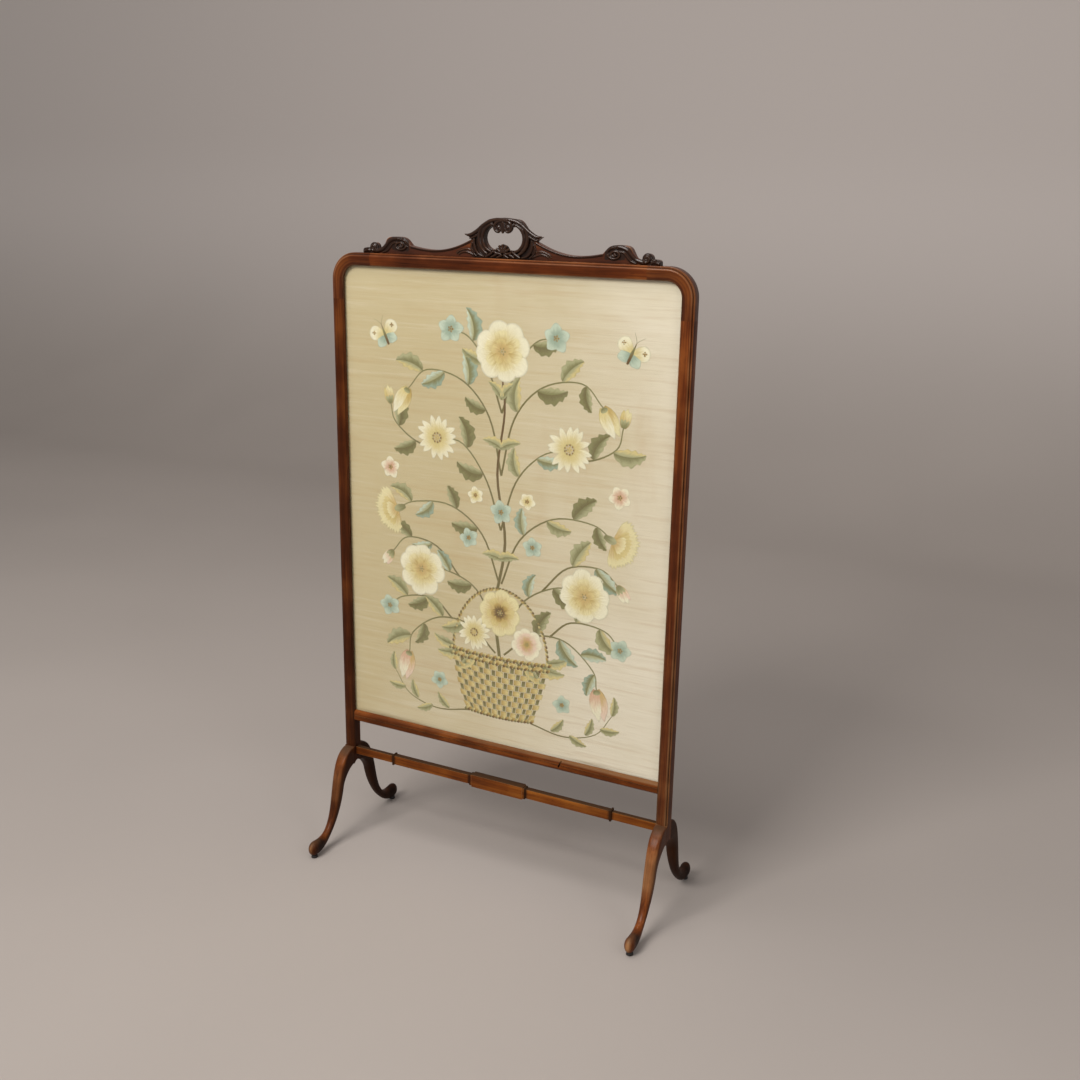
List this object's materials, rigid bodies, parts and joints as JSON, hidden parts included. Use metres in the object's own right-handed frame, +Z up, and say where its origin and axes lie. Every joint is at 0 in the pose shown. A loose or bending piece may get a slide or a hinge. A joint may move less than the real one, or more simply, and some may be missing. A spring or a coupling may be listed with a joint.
{
  "type": "fire screen",
  "caption": "Free-standing fire screen: moulded wooden frame with an embroidered panel behind glass, pierced carved crest, scrolling legs and a stretcher.",
  "frame": {"origin": "on the floor, midway between the four pads, in the middle of the frame's depth", "axes": "+Z up, +X along the screen's width, -Y out of the embroidered front"},
  "size_m": [0.621, 0.27, 1.095],
  "materials": {
    "frame_wood": "polished mahogany, worn along the edges",
    "carved_wood": "carved mahogany, dark in the hollows",
    "leg_wood": "mahogany, rubbed paler at knees and toes",
    "pad_wood": "dark hardwood, dull",
    "glass": "clear, old",
    "silk": "slubbed cream silk with silk embroidery",
    "board": "plain board",
    "back_wood": "thin plain board, stained",
    "bead_wood": "stained beading",
    "pin_steel": "dull steel",
    "dowel_wood": "bare beech"
  },
  "bodies": {
    "root": {"left_upright": "frame_wood", "right_upright": "frame_wood", "left_corner": "frame_wood", "right_corner": "frame_wood", "top_rail": "frame_wood", "bottom_rail": "frame_wood", "crest": "carved_wood", "stretcher": "leg_wood", "front_left_leg": "leg_wood", "rear_left_leg": "leg_wood", "front_right_leg": "leg_wood", "rear_right_leg": "leg_wood", "front_left_pad": "pad_wood", "rear_left_pad": "pad_wood", "front_right_pad": "pad_wood", "rear_right_pad": "pad_wood", "glass_pane": "glass", "silk_panel": "silk", "silk_board": "board", "back_board": "back_wood", "left_bead": "bead_wood", "right_bead": "bead_wood", "top_bead": "bead_wood", "bottom_bead": "bead_wood", "left_corner_bead": "bead_wood", "right_corner_bead": "bead_wood", "bead_pins": "pin_steel", "corner_dowels": "dowel_wood", "crest_dowels": "dowel_wood", "leg_dowels": "dowel_wood"}
  },
  "joints": []
}
